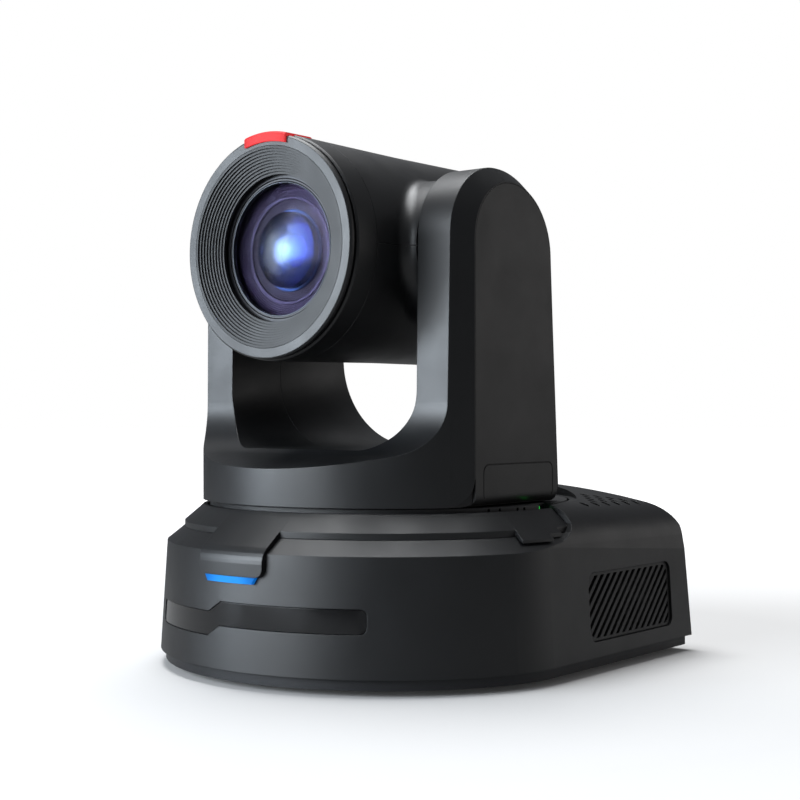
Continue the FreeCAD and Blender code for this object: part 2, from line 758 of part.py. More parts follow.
sink_base = box("heat_sink_base", (56, 22, 2.5), (0, 35.5, 13.7))
fins = []
for number in range(11):
    fins.append(box("heat_sink_fin_%d" % number, (1.6, 22, 12), (-26.0 + number * 5.2, 35.5, 15.5)))
node(fuse("heat_sink", sink_base, *fins))

node(box("interface_board", (112, 1.6, 20), (0, 51.4, 9.5)))
node(box("infrared_receiver", (6, 4, 8), (24, -59.5, 17)))
node(box("status_led_board", (16, 1.2, 8), (0, -65.0, 26)))

# ---------------------------------------------------------------- pan drive

post = turned("pan_post_turned", [
    ("pan_post_bore", "shell_bottom - 0.2"), (20, "shell_bottom - 0.2"), (20, 7.2), ("pan_post_radius", 7.2),
    ("pan_post_radius", 45.2), ("pan_post_bore", 45.2),
])
node(cut("pan_post", post, box("pan_post_window", (12, 20, 14), (0, 10, 9))))

node(tube("pan_bearing", "pan_bearing_radius", "pan_post_radius + 0.02", "pan_bearing_bottom",
          "pan_bearing_bottom + pan_bearing_height"))
node(tube("bearing_retainer", "16.2", "pan_post_bore + 0.5", "45.25", "46.3"))

PAN_DRIVE_RADIUS = "gear_module * (pan_teeth + pan_pinion_teeth) / 2"

motor_case = box("pan_motor_case", (35, 35, 22), (0, "-(%s)" % PAN_DRIVE_RADIUS, 5.2))
motor_boss = cylinder("pan_motor_boss", 11, 2, (0, "-(%s)" % PAN_DRIVE_RADIUS, 27.2))
motor_bore = cylinder("pan_motor_bore", 2.55, 30, (0, "-(%s)" % PAN_DRIVE_RADIUS, 12))
node(cut("pan_motor", fuse("pan_motor_body", motor_case, motor_boss), motor_bore))

pan_pinion_gear = gear("pan_pinion_gear", "pan_pinion_teeth", "pan_gear_height", "2.0",
                       (0, "-(%s)" % PAN_DRIVE_RADIUS, "pan_gear_bottom"), phase=11.25)
pan_pinion_shaft = cylinder("pan_pinion_shaft", 2.5, 24, (0, "-(%s)" % PAN_DRIVE_RADIUS, 13))
node(fuse("pan_pinion", pan_pinion_gear, pan_pinion_shaft))

node(turned("turntable", [
    ("pan_bearing_radius + running_clearance", "pan_gear_bottom - 0.2"), (21, "pan_gear_bottom - 0.2"),
    (21, "turntable_bottom"), ("turntable_radius - 0.3", "turntable_bottom"),
    ("turntable_radius - 0.3", "turntable_top"), (9.5, "turntable_top"), (9.5, "turntable_bottom"),
    ("pan_bearing_radius + running_clearance", "turntable_bottom"),
]))
node(gear("pan_gear", "pan_teeth", "pan_gear_height", "21.02", (0, 0, "pan_gear_bottom")))

ring_blank = tube("pan_ring_blank", "turntable_radius", "16", "turntable_top + 0.05", "pan_ring_top")
ring_window = common("pan_ring_window", cylinder("pan_ring_window_disc", 46.4, 20, (0, 0, 40)),
                     box("pan_ring_window_keep", (100, 65, 20), (0, -17.5, 40)))
pin_holes = []
for number, degrees in enumerate((-20, -16, -9, -6, 160, 164, 171, 174), start=1):
    angle = math.radians(degrees)
    pin_holes.append(cylinder("pan_ring_hole_%d" % number, 0.5, 3,
                              (54.5 * math.cos(angle), 54.5 * math.sin(angle), 49.7),
                              ((-math.sin(angle), math.cos(angle), 0), 90)))
lamp_notch = box("pan_ring_lamp_notch", (8, 9, 4), (56.6, 5.9, 48))
node(cut("pan_ring", ring_blank, ring_window, lamp_notch, *pin_holes))

node(turned("power_lamp", [
    (0, "turntable_top + 0.06"), (1.0, "turntable_top + 0.06"), (1.0, 49.8), (0.6, 50.3), (0, 50.45),
], (54.3, 3.6, 0)))


# ---------------------------------------------------------------- yoke

REAR_ARC_Y = -10.0
FRONT_ARC_Y = -11.0
SWEEP_RADIUS = 16.0
SWEEP_Y = -49.0
SWEEP_Z = 81.0
SLOPE_ANGLE = math.radians(15.0)
HEEL_ROUND = 5.0
KEEL_ROUND = 3.4


def wire_in_x(x, spots):
    """A closed wire in the plane at x: each spot is an end point or (middle, end) of an arc."""
    ends = [spot if isinstance(spot[0], float) else spot[1] for spot in spots]
    shapes = []
    for index, spot in enumerate(spots):
        start = FreeCAD.Vector(x, *ends[index - 1])
        if isinstance(spot[0], float):
            shapes.append(Part.LineSegment(start, FreeCAD.Vector(x, *spot)).toShape())
        else:
            middle, end = (FreeCAD.Vector(x, *point) for point in spot)
            shapes.append(Part.Arc(start, middle, end).toShape())
    return Part.Wire(shapes)


def yoke_profile(x, inset):
    """The yoke from the side: an arched arm on a drum, swept forward at the bottom."""
    top = value("yoke_top") - inset
    low = value("yoke_bottom") + inset
    rear = value("yoke_rear_high") - inset
    front = -value("yoke_front") + inset
    rear_radius = rear - REAR_ARC_Y
    front_radius = FRONT_ARC_Y - front
    rear_centre = (REAR_ARC_Y, top - rear_radius)
    front_centre = (FRONT_ARC_Y, top - front_radius)
    sweep = SWEEP_RADIUS + inset
    sweep_centre = (SWEEP_Y, SWEEP_Z)
    foot = on_arc(sweep_centre, sweep, -75)
    ahead = -value("yoke_radius") - 5
    heel = HEEL_ROUND - inset
    heel_y = value("yoke_rear_low") - inset - heel
    return wire_in_x(x, [
        (ahead, low), (heel_y, low), (on_arc((heel_y, low + heel), heel, -45), (heel_y + heel, low + heel)),
        (rear, rear_centre[1]),
        (on_arc(rear_centre, rear_radius, 45), (REAR_ARC_Y, top)), (FRONT_ARC_Y, top),
        (on_arc(front_centre, front_radius, 135), (front, front_centre[1])),
        (SWEEP_Y + sweep, SWEEP_Z), (on_arc(sweep_centre, sweep, -37), foot),
        (ahead, foot[1] - (foot[0] - ahead) * math.tan(SLOPE_ANGLE)),
    ])


def flank_profile(x, front, rear_low, rear_high, top, front_radius, rear_radius, low, heel):
    """A simpler arm outline, used to draw the bevelled flanks between two depths."""
    middle = front + front_radius
    front_centre = (middle, top - front_radius)
    rear_centre = (rear_high - rear_radius, top - rear_radius)
    heel_y = rear_low - heel
    return wire_in_x(x, [
        (front, low), (heel_y, low), (on_arc((heel_y, low + heel), heel, -45), (rear_low, low + heel)),
        (rear_high, rear_centre[1]),
        (on_arc(rear_centre, rear_radius, 45), (rear_centre[0], top)), (middle, top),
        (on_arc(front_centre, front_radius, 135), (front, front_centre[1])),
    ])


FLANK_TOP_BEVEL = 4.1
FLANK_REAR_BEVEL = 6.0
FLANK_FRONT_RADIUS = 18.0
FLANK_REAR_RADIUS = 21.0


def keel(half, low, rounding):
    """A long block that rounds the lower edges of the flanks."""
    block = Part.makeBox(2 * half, 200, 120, FreeCAD.Vector(-half, -100, low))
    lengthwise = [edge for edge in block.Edges if abs(edge.tangentAt(0).y) > 0.99]
    return block.makeFillet(rounding, [edge for edge in lengthwise if edge.Vertexes[0].Z < low + 1])


def yoke_form(inset):
    """The yoke's outer form: a profiled core with bevelled flanks, inside one cylinder."""
    band = value("yoke_band_x") - inset * 0.5
    half = value("yoke_half_width") - inset
    low = value("yoke_bottom") + inset
    core = Part.Face(yoke_profile(-band, inset)).extrude(FreeCAD.Vector(2 * band, 0, 0))
    top = value("yoke_top") - inset
    outer = flank_profile(band, -value("yoke_front") + inset, value("yoke_rear_low") - inset,
                          value("yoke_rear_high") - inset, top, 21.4 - inset, 29.5 - inset, low,
                          HEEL_ROUND - inset)
    inner = flank_profile(half, -value("yoke_band_y") + inset,
                          value("yoke_rear_low") - FLANK_REAR_BEVEL - inset,
                          value("yoke_rear_high") - FLANK_REAR_BEVEL - inset, top - FLANK_TOP_BEVEL,
                          FLANK_FRONT_RADIUS - inset, FLANK_REAR_RADIUS - inset, low, HEEL_ROUND - inset)
    flank = Part.makeLoft([outer, inner], True, True)
    block = core.fuse(flank).fuse(flank.mirror(FreeCAD.Vector(), FreeCAD.Vector(1, 0, 0)))
    drum = Part.makeCylinder(value("yoke_radius") - inset, 120, FreeCAD.Vector(0, 0, low))
    return block.common(drum).common(keel(half, low, KEEL_ROUND - inset))


def tunnel(grow):
    """The gap between the arms, with a rounded floor that opens out towards the rear."""
    half = value("yoke_gap_half") + grow
    floor = value("yoke_floor") - grow
    sections = []
    for y, rounding in ((-62.0, value("tunnel_front_round")), (24.0, value("tunnel_rear_round"))):
        radius = rounding + grow
        left = (-half + radius, floor + radius)
        right = (half - radius, floor + radius)
        left_bend = on_arc(left, radius, 225)
        right_bend = on_arc(right, radius, 315)

        def spot(point):
            return FreeCAD.Vector(point[0], y, point[1])

        sections.append(Part.Wire([
            Part.LineSegment(spot((-half, 170)), spot((-half, left[1]))).toShape(),
            Part.Arc(spot((-half, left[1])), spot(left_bend), spot((left[0], floor))).toShape(),
            Part.LineSegment(spot((left[0], floor)), spot((right[0], floor))).toShape(),
            Part.Arc(spot((right[0], floor)), spot(right_bend), spot((half, right[1]))).toShape(),
            Part.LineSegment(spot((half, right[1])), spot((half, 170))).toShape(),
            Part.LineSegment(spot((half, 170)), spot((-half, 170))).toShape(),
        ]))
    return Part.makeLoft(sections, True, True)


def side_panel_region(gap, depth):
    """The flat outer panel of the right arm, as a slab that starts at a depth."""
    low = value("yoke_bottom") + 0.4 - gap
    front = -value("yoke_band_y") + 0.3 + gap
    rear_low = value("yoke_rear_low") - FLANK_REAR_BEVEL - gap
    rear_high = value("yoke_rear_high") - FLANK_REAR_BEVEL - gap
    top = value("yoke_top") - FLANK_TOP_BEVEL - 0.3 - gap
    outline_wire = flank_profile(value("yoke_half_width") - depth, front, rear_low, rear_high, top,
                                 FLANK_FRONT_RADIUS - 0.3 - gap, FLANK_REAR_RADIUS - gap, low + gap,
                                 HEEL_ROUND - gap)
    return Part.Face(outline_wire).extrude(FreeCAD.Vector(depth + 5, 0, 0))


def across(shape):
    return shape.mirror(FreeCAD.Vector(), FreeCAD.Vector(1, 0, 0))


YOKE_OUTER = yoke_form(0.0)
YOKE_SHELL = YOKE_OUTER.cut(tunnel(0.0)).cut(yoke_form(value("yoke_wall")).cut(tunnel(value("yoke_wall"))))
FLOOR_OPENING = Part.makeCylinder(47.5, 10, FreeCAD.Vector(0, 0, 45)).common(
    Part.makeBox(100, 65, 20, FreeCAD.Vector(-50, -50, 40)))
YOKE_SHELL = YOKE_SHELL.cut(FLOOR_OPENING)
TILT_POINT = FreeCAD.Vector(-60, value("tilt_axis_y"), value("tilt_axis_z"))
SHAFT_HOLES = Part.makeCylinder(value("shaft_radius") + 1.2, 120, TILT_POINT, FreeCAD.Vector(1, 0, 0)).common(
    Part.makeBox(90, 200, 200, FreeCAD.Vector(-45, -100, 0)))
PANEL_THICKNESS = 2.2
PANEL_HOLES = side_panel_region(0.0, PANEL_THICKNESS + 2)
CASING = YOKE_SHELL.cut(SHAFT_HOLES).cut(PANEL_HOLES).cut(across(PANEL_HOLES))
SPLIT_Y = value("tilt_axis_y")


def lower_corner(side):
    """The recess round the lower corner of the front casing, where the side panel passes under."""
    arc_y = -value("yoke_band_y") - 8.0
    arc_z = value("yoke_bottom") + 8.0
    block = Part.makeBox(20, 8.5, 8.0, FreeCAD.Vector(38, arc_y, value("yoke_bottom") - 0.01))
    block = block.cut(Part.makeCylinder(8.0, 40, FreeCAD.Vector(30, arc_y, arc_z), FreeCAD.Vector(1, 0, 0)))
    block = block.cut(Part.makeCylinder(value("yoke_radius") - 1.0, 30, FreeCAD.Vector(0, 0, 45)))
    return block if side > 0 else across(block)


def yoke_front_casing():
    front = CASING.common(Part.makeBox(200, 100, 200, FreeCAD.Vector(-100, SPLIT_Y - 100, 0)))
    return front.cut(lower_corner(1)).cut(lower_corner(-1))


def yoke_rear_casing():
    return CASING.common(Part.makeBox(200, 100, 200, FreeCAD.Vector(-100, SPLIT_Y + 0.1, 0)))


def side_panel():
    """The flat outer cover of an arm, with the outline of its service hatch cut as a fine groove."""
    panel = YOKE_OUTER.common(side_panel_region(0.08, PANEL_THICKNESS))
    hatch = rounded_plate(36.0, 11.0, 2.5, 1)
    groove = hatch.cut(rounded_plate(35.4, 10.4, 2.2, 1))
    groove.rotate(FreeCAD.Vector(), FreeCAD.Vector(0, 0, 1), 90)
    groove.rotate(FreeCAD.Vector(), FreeCAD.Vector(0, 1, 0), 90)
    groove.translate(FreeCAD.Vector(value("yoke_half_width") - 0.3, -3.5, 57.6))
    return panel.cut(groove)


node(shaped("yoke_front_casing", yoke_front_casing()))
node(shaped("yoke_rear_casing", yoke_rear_casing()))
node(shaped("side_cover_right", side_panel()))
node(shaped("side_cover_left", across(side_panel())))

TILT_DRIVE_DROP = "gear_module * (tilt_teeth + tilt_pinion_teeth) / 2"
TILT_MOTOR_Z = "tilt_axis_z - %s" % TILT_DRIVE_DROP

frame_disc = cylinder("frame_disc", 46, 4.35, (0, 0, "turntable_top + 0.05"))
frame_foot = common("frame_foot", frame_disc, box("frame_foot_keep", (100, 64.6, 20), (0, -17.7, 45)))
frame_floor = box("frame_floor", (86.4, 30, 2.2), (0, -8, "turntable_top + 4.4"))
frame_sides = []
for side in (1, -1):
    corner = (side * 42.2, -10.7, "turntable_top + 4.4")
    frame_sides.append(box("frame_upright_%d" % (side + 2), (2.0, 26, 88), corner))
frame_bore = cylinder("frame_bore", 9.0, 12, (0, 0, "turntable_top - 1"))
bearing_seats = cylinder("frame_bearing_seats", 9.0, 120, (-60, "tilt_axis_y", "tilt_axis_z"), ALONG_X)
motor_seat = cylinder("frame_motor_seat", 9.8, 20, (35, "tilt_axis_y", TILT_MOTOR_Z), ALONG_X)
frame_blank = fuse("frame_parts", frame_foot, frame_floor, *frame_sides)
node(cut("yoke_frame", frame_blank, frame_bore, bearing_seats, motor_seat))

for side, name in ((1, "tilt_bearing_right"), (-1, "tilt_bearing_left")):
    place_of = (41.0 if side > 0 else -45.0, "tilt_axis_y", "tilt_axis_z")
    node(tube(name, "9.0", "shaft_radius + running_clearance", 0, 4.0, place_of, ALONG_X))

tilt_motor_can = cylinder("tilt_motor_can", 9.6, 6.6, (40.2, "tilt_axis_y", TILT_MOTOR_Z), ALONG_X)
tilt_motor_bore = cylinder("tilt_motor_bore", 1.55, 10, (42, "tilt_axis_y", TILT_MOTOR_Z), ALONG_X)
node(cut("tilt_motor", tilt_motor_can, tilt_motor_bore))

tilt_pinion_gear = gear("tilt_pinion_gear", "tilt_pinion_teeth", "tilt_gear_width", "1.2",
                        (47.2, "tilt_axis_y", TILT_MOTOR_Z), ALONG_X)
tilt_pinion_shaft = cylinder("tilt_pinion_shaft", 1.5, 7.4, (42.4, "tilt_axis_y", TILT_MOTOR_Z), ALONG_X)
node(fuse("tilt_pinion", tilt_pinion_gear, tilt_pinion_shaft))

node(box("yoke_board", (1.6, 26, 42), (-47.6, -10.7, 66)))

# ---------------------------------------------------------------- head

LENS_AT = (0, 0, "tilt_axis_z")


def lens_turned(name, corners):
    """A piece turned about the lens axis from (radius, distance in front of the pan axis) corners."""
    return turned(name, corners, LENS_AT, LENS_AXIS)


def head_form(inset):
    """The barrel of the head with its two tilt hubs blended in."""
    radius = value("barrel_radius") - inset
    rear_radius = value("barrel_rear_radius") - inset
    rear = value("barrel_rear") + inset
    rounding = 10.0 - inset
    bend = on_arc((rear_radius - rounding, rear + rounding), rounding, -45)

    def spot(point):
        return FreeCAD.Vector(point[0], 0, point[1])

    bend_start = spot((rear_radius, rear + rounding))
    bend_end = spot((rear_radius - rounding, rear))
    profile = Part.Wire([
        Part.LineSegment(spot((0, 45.3)), spot((radius, 45.3))).toShape(),
        Part.LineSegment(spot((radius, 45.3)), spot((rear_radius, 8.0))).toShape(),
        Part.LineSegment(spot((rear_radius, 8.0)), bend_start).toShape(),
        Part.Arc(bend_start, spot(bend), bend_end).toShape(),
        Part.LineSegment(bend_end, spot((0, rear))).toShape(),
        Part.LineSegment(spot((0, rear)), spot((0, 45.3))).toShape(),
    ])
    barrel = Part.Face(profile).revolve(FreeCAD.Vector(), FreeCAD.Vector(0, 0, 1), 360)
    barrel.rotate(FreeCAD.Vector(), FreeCAD.Vector(1, 0, 0), 90)
    barrel.translate(FreeCAD.Vector(0, 0, value("tilt_axis_z")))
    face = value("hub_face") - inset
    hubs = Part.makeCylinder(value("hub_radius") - inset, 2 * face,
                             FreeCAD.Vector(-face, value("tilt_axis_y"), value("tilt_axis_z")),
                             FreeCAD.Vector(1, 0, 0))
    return barrel.fuse(hubs)


def blend_hubs(form, radius):
    """Round the inside corner where each hub leaves the barrel."""
    def seam(edge):
        middle = edge.valueAt((edge.FirstParameter + edge.LastParameter) / 2)
        centre = FreeCAD.Vector(middle.x, value("tilt_axis_y"), value("tilt_axis_z"))
        around = abs((middle - centre).Length - value("hub_radius")) < 0.05
        return around and abs(middle.x) < value("hub_face") - 1

    edges = [edge for edge in form.Edges if seam(edge)]
    return form.makeFillet(radius, edges)


HUB_BLEND = 4.0


def head_cover(upper):
    """One half of the head's casing, split at the height of the lens axis."""
    casing = blend_hubs(head_form(0.0), HUB_BLEND).cut(head_form(value("head_wall")))
    bore = Part.makeCylinder(value("shaft_radius") + 0.6, 120, TILT_POINT, FreeCAD.Vector(1, 0, 0))
    casing = casing.cut(bore)
    front = Part.makeCylinder(value("barrel_radius") - value("head_wall"), 12,
                              FreeCAD.Vector(0, -50, value("tilt_axis_z")), FreeCAD.Vector(0, 1, 0))
    casing = casing.cut(front)
    gap = 0.06
    start = value("tilt_axis_z") + gap if upper else value("tilt_axis_z") - gap - 100
    return casing.common(Part.makeBox(200, 200, 100, FreeCAD.Vector(-100, -100, start)))


node(shaped("head_upper_cover", head_cover(True)))
node(shaped("head_lower_cover", head_cover(False)))

CAP_SLOPE = [(-7.6, 20.0), (7.6, 20.0), (9.2, 50.0), (-9.2, 50.0)]


def cap_region(corners, grow):
    """The part of a ring round the lens axis that lies under the lamp cap, over the top of the head."""
    ring = ring_body(corners)
    ring.rotate(FreeCAD.Vector(), FreeCAD.Vector(1, 0, 0), 90)
    ring.translate(FreeCAD.Vector(0, 0, value("tilt_axis_z")))
    points = [(x + math.copysign(grow, x), value("tilt_axis_z") + z) for x, z in CAP_SLOPE]
    return ring.common(front_prism(points, -70, -30))


def cap_seat(name):
    """The shallow seat that lets the lamp cap lie nearly flush."""
    return shaped(name, cap_region([(32.55, 45.4), (40, 45.4), (40, 58), (32.55, 58)], 0.12))


band = lens_turned("front_band_turned", [
    ("barrel_radius - head_wall - 0.1", 45.45), ("barrel_radius", 45.45), ("barrel_radius", 53.2),
    ("barrel_radius - 0.5", 53.7), (31.0, 53.7), (31.0, 54.7), (29.7, 54.7), (29.7, 50.5), (31.0, 49.0),
    (31.0, 46.5),
])
node(cut("front_band", band, cap_seat("front_band_seat")))
face_ring = lens_turned("front_ring_turned", [
    ("baffle_radius + 0.05", 54.75), ("ring_radius + 0.9", 54.75), ("ring_radius + 0.9", 55.7),
    ("ring_radius + 0.4", "ring_face"), ("baffle_radius + 0.05", "ring_face"),
])
node(cut("front_ring", face_ring, cap_seat("front_ring_seat")))

BAFFLE_STEPS = 10
step_across = "(baffle_radius - baffle_opening) / %d" % BAFFLE_STEPS
step_back = "baffle_depth / %d" % BAFFLE_STEPS
baffle = [("baffle_radius", "ring_face")]
for number in range(BAFFLE_STEPS):
    radius = "baffle_radius - %d * %s" % (number + 1, step_across)
    baffle.append((radius, "ring_face - %d * %s" % (number, step_back)))
    baffle.append((radius, "ring_face - %d * %s" % (number + 1, step_back)))
baffle[1] = ("baffle_radius - %s" % step_across, "ring_face")
baffle_back = "ring_face - baffle_depth - 0.7"
baffle += [("baffle_opening", baffle_back), ("baffle_radius", baffle_back)]
node(lens_turned("light_baffle", baffle))


def tally_cap():
    """The lamp cover that folds over the top of the front ring."""
    return cap_region([(32.65, 45.6), (33.4, 45.6), (33.6, 46.2), (33.6, 56.4), (33.0, 57.0), (30.7, 57.0),
                       (30.7, 56.36), (32.65, 56.36)], 0.0)


node(shaped("tally_light", tally_cap()))

for side, name in ((1, "tilt_shaft_right"), (-1, "tilt_shaft_left")):
    turn = ALONG_X if side > 0 else ((0, 1, 0), -90)
    shaft = [(0, 33.1), (9.0, 33.1), (9.0, 34.8), ("shaft_radius", 34.8), ("shaft_radius", 50.0), (0, 50.0)]
    node(turned(name, shaft, (0, "tilt_axis_y", "tilt_axis_z"), turn))
node(gear("tilt_gear", "tilt_teeth", "tilt_gear_width", "shaft_radius + 0.01",
          (47.2, "tilt_axis_y", "tilt_axis_z"), ALONG_X, phase=5.0))

mount_ring = cylinder("mount_ring", 28.5, 17, (0, -19, "tilt_axis_z"), ALONG_Y)
mount_arms = cylinder("mount_arms", 10, 66, (-33, "tilt_axis_y", "tilt_axis_z"), ALONG_X)
mount_hole = cylinder("mount_hole", 24.55, 40, (0, -30, "tilt_axis_z"), ALONG_Y)
node(cut("lens_mount", fuse("mount_blank", mount_ring, mount_arms), mount_hole))

node(lens_turned("lens_barrel", [
    (21.0, -20), (24.5, -20), (24.5, 50.4), (20.75, 50.4), (20.75, 46.55), (18.4, 46.55), (18.4, 43.6),
    (21.0, 41),
]))
node(lens_turned("lens_retainer", [
    (19.8, 48.75), (20.7, 48.75), (20.7, 49.9), (20.5, 50.2), (20.0, 50.2), (19.8, 50.0),
]))


def dome_lens(name, radius, back, crown, curve):
    """A lens element: a disc with a domed front and a flat back."""
    blank = cylinder(name + "_blank", radius, 30, (0, -crown - 1, "tilt_axis_z"), ALONG_Y)
    ball = doc.addObject("Part::Sphere", name + "_front")
    bind(ball, "Radius", curve)
    place(ball, (0, curve - crown, "tilt_axis_z"))
    width = 2 * radius + 4
    rear = box(name + "_keep", (width, 40, width), (0, -back - 20, "tilt_axis_z - %s" % (radius + 2)))
    return common(name, blank, ball, rear)


node(dome_lens("front_lens", 20.7, 46.6, 52.5, 52.0))
rods = []
for number, offset in enumerate((1, -1), start=1):
    rod_start = (0, -40, "tilt_axis_z + %s" % (offset * 17.6))
    rods.append(cylinder("guide_rod_%d" % number, 1.0, 60.0, rod_start, ALONG_Y))
node(group("guide_rods", rods))


def lens_group(name, middle, length, clear):
    """A sliding cell on the two guide rods, with a bore for its lens."""
    cell = lens_turned(name + "_cell", [
        (clear, middle - length / 2), (20.4, middle - length / 2), (20.4, middle + length / 2),
        (clear, middle + length / 2),
    ])
    holes = [cylinder(name + "_hole_%d" % number, "1.0 + running_clearance", 60,
                      (0, -middle - 30, "tilt_axis_z + %s" % (offset * 17.6)), ALONG_Y)
             for number, offset in enumerate((1, -1), start=1)]
    return node(cut(name, cell, *holes))


lens_group("zoom_carriage", 30.0, 10.0, 12.0)
node(lens_turned("zoom_lens", [(0, 26.5), (11.98, 27.5), (11.98, 32.5), (0, 34.0)]))
lens_group("focus_carriage", -4.0, 8.0, 9.0)
node(lens_turned("focus_lens", [(0, -7.0), (8.98, -6.0), (8.98, -2.5), (0, -1.0)]))

node(box("sensor_board", (36, 1.6, 36), (0, 21.0, "tilt_axis_z - 18")))


# ---------------------------------------------------------------- checks and output

doc.recompute()

for thing in doc.Objects:
    if "Invalid" in thing.State or "Error" in thing.State:
        raise RuntimeError("failed object: %s %s" % (thing.Label, thing.State))

for piece in nodes:
    if piece.Shape.isNull() or not piece.Shape.isValid():
        raise RuntimeError("bad shape: %s" % piece.Label)

os.makedirs("parts", exist_ok=True)
for piece in nodes:
    piece.Shape.exportStep("parts/%s.step" % piece.Label)
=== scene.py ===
import json
import math

import bmesh
import bpy
from mathutils import Matrix, Vector


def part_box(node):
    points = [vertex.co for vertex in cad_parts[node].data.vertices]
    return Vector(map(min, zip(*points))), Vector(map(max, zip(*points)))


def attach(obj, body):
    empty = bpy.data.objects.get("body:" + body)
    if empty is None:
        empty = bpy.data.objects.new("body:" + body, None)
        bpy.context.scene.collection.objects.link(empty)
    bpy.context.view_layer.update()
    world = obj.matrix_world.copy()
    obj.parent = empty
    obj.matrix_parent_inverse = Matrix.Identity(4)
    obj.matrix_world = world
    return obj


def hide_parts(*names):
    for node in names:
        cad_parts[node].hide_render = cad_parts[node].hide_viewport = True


# The looks of a pan, tilt and zoom camera. Everything is in metres, in the frame of the CAD model:
# Z is up, the lens looks along -Y, and the origin is on the surface under the pan axis.

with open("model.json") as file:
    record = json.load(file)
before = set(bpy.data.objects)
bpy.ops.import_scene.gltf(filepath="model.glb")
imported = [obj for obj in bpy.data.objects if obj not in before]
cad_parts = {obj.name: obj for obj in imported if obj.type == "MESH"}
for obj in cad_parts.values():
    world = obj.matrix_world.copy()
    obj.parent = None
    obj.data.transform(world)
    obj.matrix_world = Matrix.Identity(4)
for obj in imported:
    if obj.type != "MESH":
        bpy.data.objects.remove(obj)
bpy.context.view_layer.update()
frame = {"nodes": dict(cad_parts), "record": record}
NODES = frame["nodes"]

LENS_Z = (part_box("front_ring")[0][2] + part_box("front_ring")[1][2]) / 2


# ---------------------------------------------------------------- materials

class Nodes:
    """A small helper that adds and links shader nodes."""

    def __init__(self, name):
        self.material = bpy.data.materials.new(name)
        self.material.use_nodes = True
        self.tree = self.material.node_tree
        self.tree.nodes.clear()
        self.shader = self.add("ShaderNodeBsdfPrincipled")
        output = self.add("ShaderNodeOutputMaterial")
        self.link(self.shader.outputs["BSDF"], output.inputs["Surface"])
        self.place = self.add("ShaderNodeTexCoord").outputs["Object"]

    def add(self, kind, **settings):
        node = self.tree.nodes.new(kind)
        for key, amount in settings.items():
            setattr(node, key, amount)
        return node

    def link(self, start, end):
        self.tree.links.new(start, end)

    def set(self, **sockets):
        for name, amount in sockets.items():
            self.shader.inputs[name.replace("_", " ")].default_value = amount

    def noise(self, scale, detail=4.0, roughness=0.55, stretch=None):
        texture = self.add("ShaderNodeTexNoise")
        texture.inputs["Scale"].default_value = scale
        texture.inputs["Detail"].default_value = detail
        texture.inputs["Roughness"].default_value = roughness
        place = self.place
        if stretch:
            mapping = self.add("ShaderNodeMapping")
            mapping.inputs["Scale"].default_value = stretch
            self.link(place, mapping.inputs["Vector"])
            place = mapping.outputs["Vector"]
        self.link(place, texture.inputs["Vector"])
        return texture.outputs["Fac"]

    def ramp(self, source, stops):
        ramp = self.add("ShaderNodeValToRGB")
        points = ramp.color_ramp.elements
        while len(points) < len(stops):
            points.new(0.5)
        for point, (position, colour) in zip(points, stops):
            point.position = position
            point.color = tuple(colour) + (1.0,)
        self.link(source, ramp.inputs["Fac"])
        return ramp.outputs["Color"]

    def spread(self, source, low, high, start=0.3, end=0.7):
        span = self.add("ShaderNodeMapRange")
        ends = (("From Min", start), ("From Max", end), ("To Min", low), ("To Max", high))
        for name, amount in ends:
            span.inputs[name].default_value = amount
        self.link(source, span.inputs["Value"])
        return span.outputs["Result"]

    def bump(self, height, distance, strength=1.0, edge=0.0):
        bump = self.add("ShaderNodeBump")
        bump.inputs["Distance"].default_value = distance
        bump.inputs["Strength"].default_value = strength
        self.link(height, bump.inputs["Height"])
        if edge:
            bevel = self.add("ShaderNodeBevel", samples=4)
            bevel.inputs["Radius"].default_value = edge
            self.link(bevel.outputs["Normal"], bump.inputs["Normal"])
        self.link(bump.outputs["Normal"], self.shader.inputs["Normal"])


def moulded_plastic(name, dark, light, rough=(0.36, 0.46), grain=5200.0, depth=0.00002,
                    edge=0.00035, specular=0.60):
    """Satin plastic with the fine spark-eroded grain of a moulding tool and rounded edges."""
    n = Nodes(name)
    broad = n.noise(26.0, 3.0)
    n.link(n.ramp(broad, [(0.32, dark), (0.68, light)]), n.shader.inputs["Base Color"])
    fine = n.noise(grain, 2.0, 0.5)
    smudge = n.noise(60.0, 5.0, 0.62)
    n.link(n.spread(smudge, rough[0], rough[1]), n.shader.inputs["Roughness"])
    n.bump(fine, depth, 0.55, edge)
    n.set(Specular_IOR_Level=specular)
    return n.material


def turned_metal(name, base, rough, metallic=1.0, stretch=(900.0, 40.0, 900.0), edge=0.0001):
    """Machined or coated metal with fine lines."""
    n = Nodes(name)
    lines = n.noise(3.0, 5.0, 0.6, stretch)
    darker = tuple(channel * 0.78 for channel in base)
    n.link(n.ramp(lines, [(0.3, darker), (0.7, base)]), n.shader.inputs["Base Color"])
    n.link(n.spread(lines, rough * 0.8, rough * 1.25), n.shader.inputs["Roughness"])
    n.bump(lines, 0.00001, 0.4, edge)
    n.set(Metallic=metallic)
    return n.material


def gloss_plastic(name, dark, light, rough=0.12, coat=0.5):
    """Polished plastic under a thin clear coat, with a faint haze."""
    n = Nodes(name)
    haze = n.noise(90.0, 5.0, 0.6)
    n.link(n.ramp(haze, [(0.3, dark), (0.7, light)]), n.shader.inputs["Base Color"])
    n.link(n.spread(haze, rough * 0.7, rough * 1.5), n.shader.inputs["Roughness"])
    n.bump(n.noise(500.0, 3.0), 0.000004, 0.5, 0.0002)
    n.set(Coat_Weight=coat)
    return n.material


